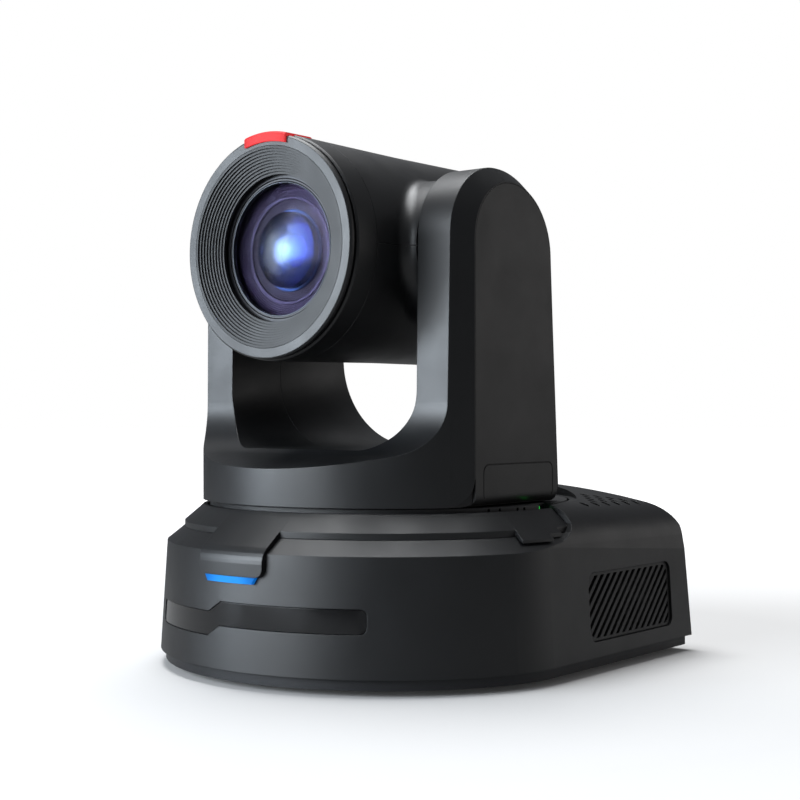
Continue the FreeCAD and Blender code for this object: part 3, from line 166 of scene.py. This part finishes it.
def lamp(name, core, edge_colour, strength, axis, half):
    """A lit light bar or lamp cover, brightest in the middle of its length."""
    n = Nodes(name)
    split = n.add("ShaderNodeSeparateXYZ")
    n.link(n.place, split.inputs["Vector"])
    away = n.add("ShaderNodeMath", operation="ABSOLUTE")
    n.link(split.outputs[axis], away.inputs[0])
    glow = n.add("ShaderNodeMapRange", interpolation_type="SMOOTHSTEP")
    ends = (("From Min", half * 0.25), ("From Max", half), ("To Min", 1.0), ("To Max", 0.45))
    for key, amount in ends:
        glow.inputs[key].default_value = amount
    n.link(away.outputs[0], glow.inputs["Value"])
    colour = n.ramp(glow.outputs["Result"], [(0.4, edge_colour), (1.0, core)])
    shade = n.ramp(glow.outputs["Result"], [(0.4, [0.2 * channel for channel in edge_colour]),
                                            (1.0, [0.3 * channel for channel in core])])
    n.link(shade, n.shader.inputs["Base Color"])
    n.link(colour, n.shader.inputs["Emission Color"])
    cloud = n.noise(420.0, 3.0)
    level = n.add("ShaderNodeMath", operation="MULTIPLY")
    n.link(glow.outputs["Result"], level.inputs[0])
    n.link(n.spread(cloud, strength * 0.93, strength), level.inputs[1])
    n.link(level.outputs[0], n.shader.inputs["Emission Strength"])
    n.link(n.spread(cloud, 0.36, 0.46), n.shader.inputs["Roughness"])
    n.bump(cloud, 0.000004, 0.1, 0.0003)
    n.set(Specular_IOR_Level=0.06)
    return n.material


def coated_glass(name, tint_middle, tint_rim, radius, rough, ior, reflect):
    """Clear glass whose thin coating throws back a colour that changes from middle to rim."""
    n = Nodes(name)
    split = n.add("ShaderNodeSeparateXYZ")
    n.link(n.place, split.inputs["Vector"])
    lift = n.add("ShaderNodeMath", operation="SUBTRACT")
    lift.inputs[1].default_value = LENS_Z
    n.link(split.outputs["Z"], lift.inputs[0])
    flat = n.add("ShaderNodeCombineXYZ")
    n.link(split.outputs["X"], flat.inputs["X"])
    n.link(lift.outputs[0], flat.inputs["Z"])
    length = n.add("ShaderNodeVectorMath", operation="LENGTH")
    n.link(flat.outputs["Vector"], length.inputs[0])
    share = n.spread(length.outputs["Value"], 0.0, 1.0, 0.0, radius)
    dust = n.noise(700.0, 4.0)
    colour = n.ramp(share, [(0.1, tint_middle), (0.95, tint_rim)])
    n.link(colour, n.shader.inputs["Base Color"])
    n.link(n.spread(dust, rough * 0.6, rough * 1.5), n.shader.inputs["Roughness"])
    n.link(colour, n.shader.inputs["Specular Tint"])
    n.bump(dust, 0.000001, 0.2)
    n.set(Transmission_Weight=1.0, IOR=ior, Specular_IOR_Level=reflect)
    return n.material


# Plastics: a dark and a light tone that drift into each other, then the range of roughness.
CASING = moulded_plastic("casing_black", (0.0058, 0.0062, 0.0070), (0.0078, 0.0083, 0.0094))
ARM_COVER = moulded_plastic("arm_cover_black", (0.0070, 0.0069, 0.0070), (0.0092, 0.0090, 0.0090),
                            (0.42, 0.5))
COLLAR = moulded_plastic("collar_black", (0.0056, 0.0060, 0.0067), (0.0074, 0.0079, 0.0088), (0.36, 0.44))
GRILLE = moulded_plastic("grille_black", (0.006, 0.006, 0.0066), (0.009, 0.009, 0.0096), (0.45, 0.55))
BAFFLE = moulded_plastic("baffle_black", (0.0040, 0.0043, 0.0050), (0.0058, 0.0062, 0.0070), (0.42, 0.5),
                         edge=0.0001, specular=0.45)
INNER_BLACK = moulded_plastic("inner_black", (0.003, 0.003, 0.0034), (0.005, 0.005, 0.0056), (0.5, 0.6))
RUBBER = moulded_plastic("foot_rubber_black", (0.018, 0.018, 0.018), (0.028, 0.028, 0.028), (0.7, 0.82),
                         grain=2600.0, depth=0.00004)
GEAR = moulded_plastic("gear_white", (0.62, 0.62, 0.58), (0.70, 0.70, 0.66), (0.4, 0.5))
WINDOW = gloss_plastic("infrared_window_black", (0.0030, 0.0031, 0.0036), (0.0042, 0.0043, 0.0050),
                       rough=0.10, coat=0.4)
SOCKET_BLACK = gloss_plastic("socket_black", (0.010, 0.010, 0.010), (0.016, 0.016, 0.016), 0.3, 0.1)
BOARD = gloss_plastic("board_green", (0.006, 0.040, 0.018), (0.012, 0.070, 0.030), 0.35, 0.2)
USB_BLUE = gloss_plastic("usb_tongue_blue", (0.01, 0.09, 0.42), (0.015, 0.12, 0.50), 0.35, 0.1)
LED_GREEN = gloss_plastic("link_lamp_green", (0.03, 0.25, 0.05), (0.05, 0.32, 0.07), 0.25, 0.3)
LED_AMBER = gloss_plastic("link_lamp_amber", (0.42, 0.17, 0.02), (0.5, 0.22, 0.03), 0.25, 0.3)

# Metals: colour, roughness and how metallic the surface is.
FLOOR_METAL = turned_metal("coated_sheet", (0.030, 0.031, 0.034), 0.42, 0.35)
STEEL = turned_metal("bright_steel", (0.56, 0.56, 0.57), 0.28)
PLATED = turned_metal("plated_shell", (0.62, 0.61, 0.58), 0.25)
GOLD = turned_metal("gold_contact", (0.86, 0.62, 0.24), 0.22)
SINK = turned_metal("sink_aluminium", (0.55, 0.56, 0.58), 0.38)
MOTOR = turned_metal("motor_black", (0.045, 0.045, 0.05), 0.4, 0.6)
ANODISED = turned_metal("anodised_black", (0.016, 0.016, 0.019), 0.34, 0.5)
BRIGHT_RIM = turned_metal("lens_rim", (0.09, 0.10, 0.115), 0.38, 0.9)
BLUE_RING = turned_metal("coated_ring_blue", (0.02, 0.055, 0.12), 0.36, 0.8)

# Lamps: colour in the middle and at the ends, brightness, long axis and half length.
STATUS_BLUE = lamp("status_blue_lit", (0.025, 0.33, 0.98), (0.0, 0.20, 0.90), 0.74, "X", 0.0125)
TALLY_RED = lamp("tally_red_lit", (1.0, 0.060, 0.066), (0.93, 0.040, 0.046), 0.80, "X", 0.0120)
POWER_GREEN = lamp("power_green_lit", (0.05, 1.0, 0.12), (0.02, 0.75, 0.06), 0.9, "Y", 0.007)

# Glasses: tint in the middle and at the rim, then the radius over which it changes.
FRONT_GLASS = coated_glass("front_glass", (0.84, 0.90, 1.0), (0.74, 0.66, 0.98), 0.020,
                           rough=0.16, ior=1.2, reflect=0.4)
SECOND_GLASS = coated_glass("second_glass", (0.50, 0.70, 1.0), (0.07, 0.15, 0.50), 0.0112,
                            rough=0.10, ior=1.72, reflect=0.55)
THIRD_GLASS = coated_glass("third_glass", (0.26, 0.50, 1.0), (0.36, 0.14, 0.80), 0.010,
                           rough=0.05, ior=1.6, reflect=0.8)

SURFACES = {
    "casing_plastic": CASING, "grille_plastic": GRILLE, "baffle_plastic": BAFFLE,
    "window_plastic": WINDOW, "status_blue": STATUS_BLUE, "tally_red": TALLY_RED,
    "power_green": POWER_GREEN, "floor_metal": FLOOR_METAL, "foot_rubber": RUBBER,
    "screw_steel": STEEL, "bearing_steel": STEEL, "socket_metal": PLATED,
    "socket_plastic": SOCKET_BLACK, "circuit_board": BOARD, "sink_aluminium": SINK,
    "motor_case": MOTOR, "gear_plastic": GEAR, "lens_metal": ANODISED, "lens_glass": FRONT_GLASS,
}
OWN_SURFACE = {"side_cover_right": ARM_COVER, "side_cover_left": ARM_COVER, "collar": COLLAR}
for entry in frame["record"]["subparts"]:
    mesh = NODES[entry["node"]].data
    mesh.materials.clear()
    mesh.materials.append(OWN_SURFACE.get(entry["node"], SURFACES[entry["material_slot"]]))


# ---------------------------------------------------------------- mesh helpers

def make(name, bm, surface, body, sharp=35.0):
    """Turn a bmesh into a piece that rides on a body."""
    mesh = bpy.data.meshes.new(name)
    bmesh.ops.recalc_face_normals(bm, faces=bm.faces)
    bm.to_mesh(mesh)
    bm.free()
    mesh.materials.append(surface)
    piece = bpy.data.objects.new(name, mesh)
    bpy.context.scene.collection.objects.link(piece)
    mesh.shade_smooth()
    mesh.set_sharp_from_angle(angle=math.radians(sharp))
    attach(piece, body)
    return piece


def circle(radius, steps):
    """Points on a circle about the origin, as (x, y) pairs."""
    angles = [2 * math.pi * step / steps for step in range(steps)]
    return [(radius * math.cos(angle), radius * math.sin(angle)) for angle in angles]


def lathe(bm, profile, centre, axis, steps=128, closed=True):
    """Turn (radius, distance along the axis) pairs about an axis through a point."""
    to_axis = Vector((0, 0, 1)).rotation_difference(Vector(axis)).to_matrix().to_4x4()
    place = Matrix.Translation(centre) @ to_axis
    rings = []
    for radius, along in profile:
        points = [(0, 0)] if radius < 1e-7 else circle(radius, steps)
        rings.append([bm.verts.new(place @ Vector((x, y, along))) for x, y in points])
    count = len(rings)
    for index in range(count if closed else count - 1):
        first, second = rings[index], rings[(index + 1) % count]
        if len(first) == 1 and len(second) == 1:
            continue
        for step in range(steps):
            after = (step + 1) % steps
            corners = [first[step % len(first)], first[after % len(first)],
                       second[after % len(second)], second[step % len(second)]]
            distinct = list(dict.fromkeys(corners))
            bm.faces.new(distinct)


def rounded_block(bm, low, high, radius, segments=3):
    """A box between two corners with its edges rounded."""
    made = bmesh.ops.create_cube(bm, size=1.0)["verts"]
    middle = (Vector(low) + Vector(high)) / 2
    size = Vector(high) - Vector(low)
    for vert in made:
        vert.co = Vector((vert.co.x * size.x, vert.co.y * size.y, vert.co.z * size.z)) + middle
    edges = list({edge for vert in made for edge in vert.link_edges})
    bmesh.ops.bevel(bm, geom=edges, offset=radius, segments=segments, affect="EDGES", profile=0.5)


# ---------------------------------------------------------------- the lens

AXIS = (0, -1, 0)
MIDDLE = (0, 0, LENS_Z)


def arc_of(radius, crown, curve, rows, inward):
    """Points of a domed surface, from its rim inward or from its middle outward."""
    points = []
    for row in range(rows + 1):
        across = radius * (1 - row / rows if inward else row / rows)
        points.append((across, crown - curve + math.sqrt(curve ** 2 - across ** 2)))
    return points


def element(name, radius, crown, curve, back, back_curve, surface):
    """A lens element with a domed front and a back that is domed the same way."""
    bm = bmesh.new()
    rows = 24
    profile = arc_of(radius, crown, curve, rows, True) + arc_of(radius, back, back_curve, rows, False)
    lathe(bm, profile, MIDDLE, AXIS)
    return make(name, bm, surface, "head", sharp=60.0)


front_element = element("front_element", 0.0206, 0.0524, 0.0520, 0.0512, 0.0508, FRONT_GLASS)
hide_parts("front_lens")
element("second_element", 0.0112, 0.0500, 0.0300, 0.0462, 0.0300, SECOND_GLASS)
element("third_element", 0.0090, 0.0438, 0.0120, 0.0410, 0.0300, THIRD_GLASS)


def between(start, end, share):
    return start + (end - start) * share


def inner_cone():
    """The ribbed black funnel behind the front element, down to the second element."""
    ribs = 14
    wide, narrow = 0.0194, 0.0116
    mouth, throat = 0.0469, 0.0448
    profile = [(0.0195, mouth)]
    for rib in range(ribs):
        radius = between(wide, narrow, rib / ribs)
        deeper = between(mouth, throat, (rib + 1) / ribs)
        profile += [
            (radius, between(mouth, throat, rib / ribs)),
            (radius - 0.00008, deeper + 0.00002),
            (between(wide, narrow, (rib + 1) / ribs), deeper),
        ]
    profile += [(0.0114, 0.0446), (0.0114, 0.0440), (0.0182, 0.0440), (0.0182, 0.0463), (0.0195, 0.04665)]
    bm = bmesh.new()
    lathe(bm, profile, MIDDLE, AXIS, 160)
    return make("lens_inner_cone", bm, INNER_BLACK, "head", sharp=20.0)


inner_cone()


def ring_piece(name, outer, inner, near, far, surface, soften):
    """A thin ring about the lens axis, with softened front edges."""
    bm = bmesh.new()
    lathe(bm, [
        (inner + soften, far), (outer - soften, far), (outer, far - soften), (outer, near), (inner, near),
        (inner, far - soften),
    ], MIDDLE, AXIS, 160)
    return make(name, bm, surface, "head")


ring_piece("front_rim_line", 0.01985, 0.01955, 0.0489, 0.0503, BRIGHT_RIM, 0.00008)
ring_piece("inner_ring_blue", 0.0121, 0.01135, 0.0449, 0.0456, BLUE_RING, 0.00006)
ring_piece("inner_ring_dark", 0.0160, 0.0150, 0.0455, 0.0462, ANODISED, 0.0001)


def iris():
    """Nine curved blades round a small opening, deep in the lens."""
    bm = bmesh.new()
    blades = 9
    steps = 13
    outer, opening, thickness = 0.0108, 0.0046, 0.00005
    outline = []
    for step in range(steps):
        angle = math.radians(-18 + step * 6.5)
        outline.append(Vector((outer * math.cos(angle), 0, outer * math.sin(angle))))
    for step in range(steps):
        angle = math.radians(60 - step * 6.5)
        outline.append(Vector((opening * math.cos(angle) + 0.0004, 0, opening * math.sin(angle))))
    for blade in range(blades):
        turn = Matrix.Rotation(2 * math.pi * blade / blades, 3, "Y")
        along = -(0.0432 + 0.00006 * (blade % 3))
        face = Vector((0, along, LENS_Z))
        back = Vector((0, along + thickness, LENS_Z))
        top = [bm.verts.new(turn @ point + face) for point in outline]
        low = [bm.verts.new(turn @ point + back) for point in outline]
        bm.faces.new(top)
        bm.faces.new(list(reversed(low)))
        for step in range(len(outline)):
            after = (step + 1) % len(outline)
            bm.faces.new([top[step], top[after], low[after], low[step]])
    return make("iris_blades", bm, ANODISED, "head")


iris()


# ---------------------------------------------------------------- sockets and rear details

def box_of(node):
    low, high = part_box(node)
    return Vector(low), Vector(high)


def centre_of(node):
    """The middle of a socket seen from behind, and the distance of its rear end."""
    low, high = box_of(node)
    return Vector(((low.x + high.x) / 2, 0, (low.z + high.z) / 2)), high.y


def blocks_piece(name, blocks, surface, radius):
    """One piece made of rounded blocks, each between two corners."""
    bm = bmesh.new()
    for low, high in blocks:
        rounded_block(bm, low, high, radius, 2)
    return make(name, bm, surface, "base")


def row_of_contacts(name, node, count, pitch, half, depths, heights, radius):
    """A row of flat contacts; the depths and heights are measured from the socket's rear and middle."""
    centre, rear = centre_of(node)
    pins = []
    for pin in range(count):
        x = centre.x + (pin - (count - 1) / 2) * pitch
        pins.append(((x - half, rear - depths[0], centre.z + heights[0]),
                     (x + half, rear - depths[1], centre.z + heights[1])))
    blocks_piece(name, pins, GOLD, radius)


def tongue(name, node, half, depths, heights, surface, radius):
    """The flat plastic tongue that carries a socket's contacts."""
    centre, rear = centre_of(node)
    block = ((centre.x - half, rear - depths[0], centre.z + heights[0]),
             (centre.x + half, rear - depths[1], centre.z + heights[1]))
    blocks_piece(name, [block], surface, radius)


def network_details():
    row_of_contacts("network_contacts", "network_socket", 8, 0.00102, 0.00019, (0.0108, 0.0020),
                    (0.00020, 0.00060), 0.00008)
    low, high = box_of("network_socket")
    lamps = (
        ("link_lamp_green", low.x + 0.0009, low.x + 0.0033, LED_GREEN),
        ("link_lamp_amber", high.x - 0.0033, high.x - 0.0009, LED_AMBER),
    )
    for name, start, end, surface in lamps:
        block = ((start, high.y - 0.0005, high.z - 0.0021), (end, high.y + 0.0002, high.z - 0.0006))
        blocks_piece(name, [block], surface, 0.0002)


def usb_details():
    tongue("usb_tongue", "usb_socket", 0.0034, (0.0096, 0.0010), (-0.0009, 0.0009), USB_BLUE, 0.0002)
    row_of_contacts("usb_contacts", "usb_socket", 4, 0.0017, 0.0004, (0.0080, 0.0018),
                    (-0.00108, -0.00086), 0.00006)


def hdmi_details():
    tongue("hdmi_tongue", "hdmi_socket", 0.0055, (0.0088, 0.0012), (-0.0005, 0.0007), SOCKET_BLACK,
           0.00015)
    row_of_contacts("hdmi_contacts", "hdmi_socket", 10, 0.001, 0.00022, (0.0074, 0.0016),
                    (-0.00066, -0.00046), 0.00005)


def pin(bm, centre, rear, radius, tip, end, steps=32):
    """A round pin with a softened tip; the tip and end are distances in from the rear."""
    lathe(bm, [
        (0, rear - tip[0]), (tip[3], rear - tip[1]), (radius, rear - tip[2]), (radius, rear - end),
        (0, rear - end),
    ], centre, (0, 1, 0), steps, closed=False)


def round_socket_details():
    bm = bmesh.new()
    centre, rear = centre_of("power_inlet")
    pin(bm, centre, rear, 0.00085, (0.0015, 0.0016, 0.0022, 0.0005), 0.0088)
    centre, rear = centre_of("sdi_connector")
    pin(bm, centre, rear, 0.0006, (0.0030, 0.0031, 0.0036, 0.0004), 0.0088)
    make("centre_pins", bm, GOLD, "base")

    bm = bmesh.new()
    nose = centre + Vector((0, rear - 0.0040, 0))
    for side in (1, -1):
        lathe(bm, [(0, 0.00565), (0.0007, 0.0056), (0.00095, 0.0053), (0.00095, 0.0040), (0, 0.0040)],
              nose, (side, 0, 0), 32, closed=False)
    make("bayonet_lugs", bm, PLATED, "base")

    bm = bmesh.new()
    centre, rear = centre_of("serial_socket")
    for number in range(8):
        angle = math.radians(number * 40 - 50)
        offset = 0.0029 if number < 7 else 0.0009
        spot = centre + Vector((offset * math.cos(angle), 0, offset * math.sin(angle)))
        pin(bm, spot, rear, 0.0004, (0.0028, 0.0030, 0.0034, 0.0003), 0.0068, steps=16)
    make("serial_pins", bm, GOLD, "base")


network_details()
usb_details()
hdmi_details()
round_socket_details()


# ---------------------------------------------------------------- camera, lights and floor

def look(thing, target):
    """Turn a camera or light towards a point."""
    thing.rotation_euler = (Vector(target) - thing.location).to_track_quat("-Z", "Y").to_euler()


# The camera stands at the front right, about half way up the object, and looks almost level.
AZIMUTH = 0.682
LIFT = 0.007
camera_data = bpy.data.cameras.new("camera")
camera_data.lens = 67.5
camera_data.sensor_width = 36.0
camera_data.clip_start = 0.01
camera = bpy.data.objects.new("camera", camera_data)
camera.location = (0.3059, -0.3710, 0.0786)
look(camera, camera.location + Vector((-math.sin(AZIMUTH), math.cos(AZIMUTH), LIFT)))
bpy.context.scene.collection.objects.link(camera)
bpy.context.scene.camera = camera


def soft_light(name, location, target, size, power, colour, size_y=None, spread=180.0):
    """A rectangular area light aimed at a point."""
    data = bpy.data.lights.new(name, "AREA")
    data.shape = "RECTANGLE"
    data.size = size
    data.size_y = size_y or size
    data.energy = power
    data.color = colour
    data.spread = math.radians(spread)
    light = bpy.data.objects.new(name, data)
    light.location = location
    look(light, target)
    bpy.context.scene.collection.objects.link(light)
    return light


HEART = (0.0, 0.0, 0.085)
soft_light("key_front", (-0.30, -0.98, 0.36), HEART, 0.72, 12.0, (0.86, 0.93, 1.0), 0.64)
glint = soft_light("lens_glint", (-0.60, -0.70, 0.20), (0.0, -0.05, 0.126), 0.36, 0.24,
                   (0.80, 0.90, 1.0), spread=40.0)
glint.data.shape = "ELLIPSE"
soft_light("top_soft", (-0.16, 0.08, 0.92), HEART, 0.60, 10.0, (0.96, 0.98, 1.0))
soft_light("rear_right", (0.80, 1.00, 0.30), HEART, 0.9, 1.0, (1.0, 0.975, 0.96), 0.5)



def studio_world():
    """A white background for the camera, which lights the object only a little."""
    world = bpy.data.worlds.new("studio")
    world.use_nodes = True
    tree = world.node_tree
    tree.nodes.clear()
    output = tree.nodes.new("ShaderNodeOutputWorld")
    backgrounds = []
    for colour, strength in (((0.93, 0.95, 1.0, 1.0), 0.12), ((1.0, 1.0, 1.0, 1.0), 1.0)):
        background = tree.nodes.new("ShaderNodeBackground")
        background.inputs["Color"].default_value = colour
        background.inputs["Strength"].default_value = strength
        backgrounds.append(background)
    rays = tree.nodes.new("ShaderNodeLightPath")
    mix = tree.nodes.new("ShaderNodeMixShader")
    tree.links.new(rays.outputs["Is Camera Ray"], mix.inputs["Fac"])
    for socket, background in enumerate(backgrounds, start=1):
        tree.links.new(background.outputs["Background"], mix.inputs[socket])
    tree.links.new(mix.outputs["Shader"], output.inputs["Surface"])
    bpy.context.scene.world = world


studio_world()
bpy.context.scene.view_settings.view_transform = "Standard"


def floor_surface():
    """Pale card that glows towards the horizon for the camera and is darker for reflections."""
    n = Nodes("floor_pale")
    cloud = n.noise(3.0, 3.0)
    distance = n.add("ShaderNodeVectorMath", operation="LENGTH")
    n.link(n.place, distance.inputs[0])
    seen_directly = n.add("ShaderNodeLightPath").outputs["Is Camera Ray"]
    pale = n.ramp(cloud, [(0.3, (0.95, 0.94, 0.93)), (0.7, (0.97, 0.96, 0.95))])
    share = n.ramp(seen_directly, [(0.0, (0.30, 0.30, 0.30)), (1.0, (0.78, 0.78, 0.78))])
    mix = n.add("ShaderNodeMix", data_type="RGBA", blend_type="MULTIPLY")
    # The colour sockets of this node share their names with its number sockets.
    mix.inputs[0].default_value = 1.0
    n.link(pale, mix.inputs[6])
    n.link(share, mix.inputs[7])
    n.link(mix.outputs[2], n.shader.inputs["Base Color"])
    glow = n.add("ShaderNodeMath", operation="MULTIPLY")
    n.link(n.spread(distance.outputs["Value"], 0.02, 1.0, 0.16, 0.8), glow.inputs[0])
    n.link(seen_directly, glow.inputs[1])
    n.link(glow.outputs[0], n.shader.inputs["Emission Strength"])
    n.link(n.spread(cloud, 0.75, 0.85), n.shader.inputs["Roughness"])
    n.set(Emission_Color=(1.0, 1.0, 1.0, 1.0), Specular_IOR_Level=0.0)
    return n.material


def floor():
    """A round studio floor, wide enough to meet the white background softly."""
    bm = bmesh.new()
    rings = 40
    spokes = 96
    reach = 6.0
    loops = []
    for ring in range(1, rings + 1):
        radius = reach * (ring / rings) ** 2.0
        loops.append([bm.verts.new((x, y, 0)) for x, y in circle(radius, spokes)])
    bm.faces.new(loops[0])
    for inner, outer in zip(loops, loops[1:]):
        for spoke in range(spokes):
            after = (spoke + 1) % spokes
            bm.faces.new([inner[spoke], outer[spoke], outer[after], inner[after]])
    mesh = bpy.data.meshes.new("floor")
    bm.to_mesh(mesh)
    bm.free()
    mesh.materials.append(floor_surface())
    piece = bpy.data.objects.new("floor", mesh)
    bpy.context.scene.collection.objects.link(piece)


floor()
